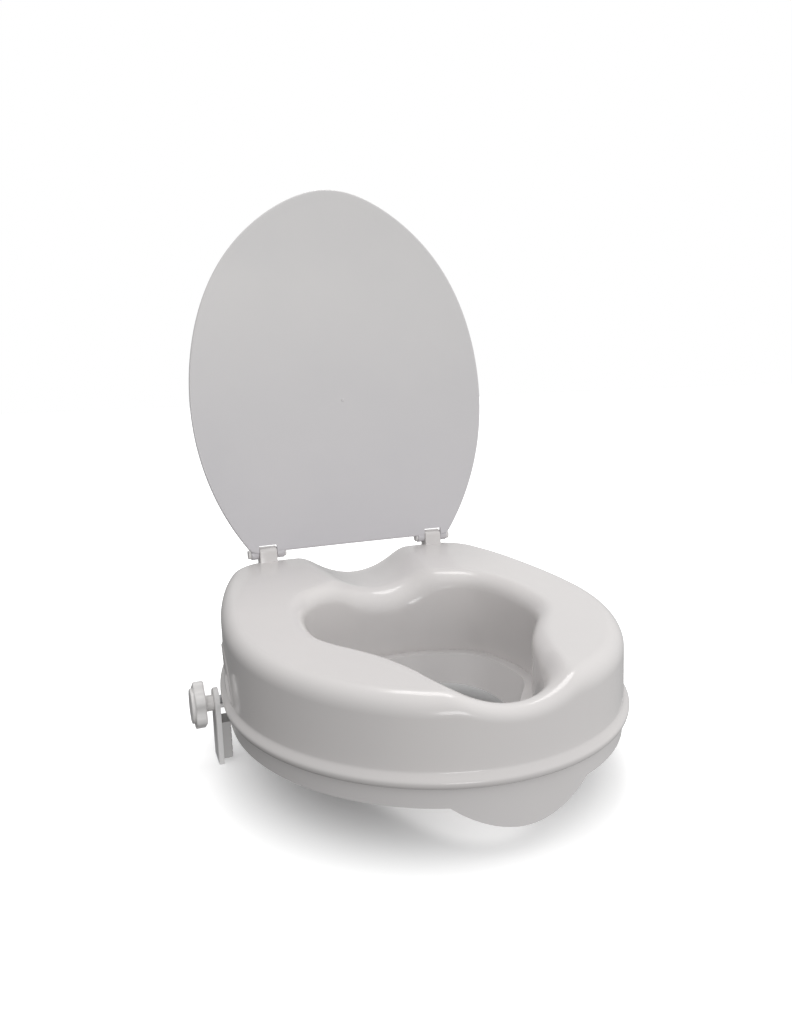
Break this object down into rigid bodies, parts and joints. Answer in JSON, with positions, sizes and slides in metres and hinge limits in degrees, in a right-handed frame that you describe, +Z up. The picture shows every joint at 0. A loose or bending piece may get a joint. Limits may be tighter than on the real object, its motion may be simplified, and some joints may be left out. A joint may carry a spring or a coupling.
{
  "type": "raised toilet seat",
  "caption": "Deep raised toilet seat with a rounded sloping top, dips in the rim, a hinged oval lid, a front splash guard and hand-screw clamps for the bowl rim.",
  "frame": {"origin": "middle of the wall's outline, on the plane where the seat rests on the bowl rim", "axes": "+X to the user's left, -Y to the front, +Z up; the lid stands open at the rear"},
  "size_m": [0.423, 0.4353, 0.5758],
  "materials": {
    "shell_plastic": "smooth glossy warm white",
    "ring_plastic": "smooth glossy warm white",
    "lid_plastic": "smooth glossy white",
    "pin_plastic": "satin white",
    "bracket_plastic": "semi-gloss white",
    "knob_plastic": "semi-gloss white",
    "jaw_rubber": "soft light grey",
    "foot_rubber": "soft grey",
    "screw_steel": "plain",
    "zinc_steel": "zinc plated"
  },
  "bodies": {
    "seat": {"seat_shell": "shell_plastic", "base_ring": "ring_plastic", "fixing_screws": "zinc_steel", "hinge_pin_left": "pin_plastic", "hinge_pin_right": "pin_plastic", "hinge_cap_left": "pin_plastic", "hinge_cap_right": "pin_plastic", "clamp_nut_left": "screw_steel", "clamp_nut_right": "screw_steel", "rim_foot_front_left": "foot_rubber", "rim_foot_front_right": "foot_rubber", "rim_foot_rear_left": "foot_rubber", "rim_foot_rear_right": "foot_rubber"},
    "lid": {"lid": "lid_plastic"},
    "bracket_left": {"clamp_bracket_left": "bracket_plastic", "clamp_pad_left": "jaw_rubber"},
    "bracket_right": {"clamp_bracket_right": "bracket_plastic", "clamp_pad_right": "jaw_rubber"},
    "screw_left": {"clamp_screw_left": "screw_steel", "clamp_knob_left": "knob_plastic", "knob_cap_left": "knob_plastic", "screw_retainer_left": "screw_steel"},
    "screw_right": {"clamp_screw_right": "screw_steel", "clamp_knob_right": "knob_plastic", "knob_cap_right": "knob_plastic", "screw_retainer_right": "screw_steel"}
  },
  "joints": [
    {"name": "lid_hinge", "type": "hinge", "parent": "seat", "child": "lid", "pos_m": [0, 0.199, 0.1193], "axis": [1, 0, 0], "range_deg": [0, 98]},
    {"name": "clamp_slide_left", "type": "slide", "parent": "seat", "child": "bracket_left", "axis": [1, 0, 0], "range_m": [0, 0.0141]},
    {"name": "clamp_turn_left", "type": "hinge", "parent": "bracket_left", "child": "screw_left", "pos_m": [0.195, 0.055, 0.0102], "axis": [1, 0, 0], "range_deg": [0, 1680]},
    {"name": "clamp_slide_right", "type": "slide", "parent": "seat", "child": "bracket_right", "axis": [-1, 0, 0], "range_m": [0, 0.0141]},
    {"name": "clamp_turn_right", "type": "hinge", "parent": "bracket_right", "child": "screw_right", "pos_m": [-0.195, 0.055, 0.0102], "axis": [-1, 0, 0], "range_deg": [0, 1680]}
  ],
  "couplings": [
    {"joint": "clamp_slide_left", "follows": "clamp_turn_left", "m_per_rad": 0.00047746},
    {"joint": "clamp_slide_right", "follows": "clamp_turn_right", "m_per_rad": 0.00047746}
  ]
}
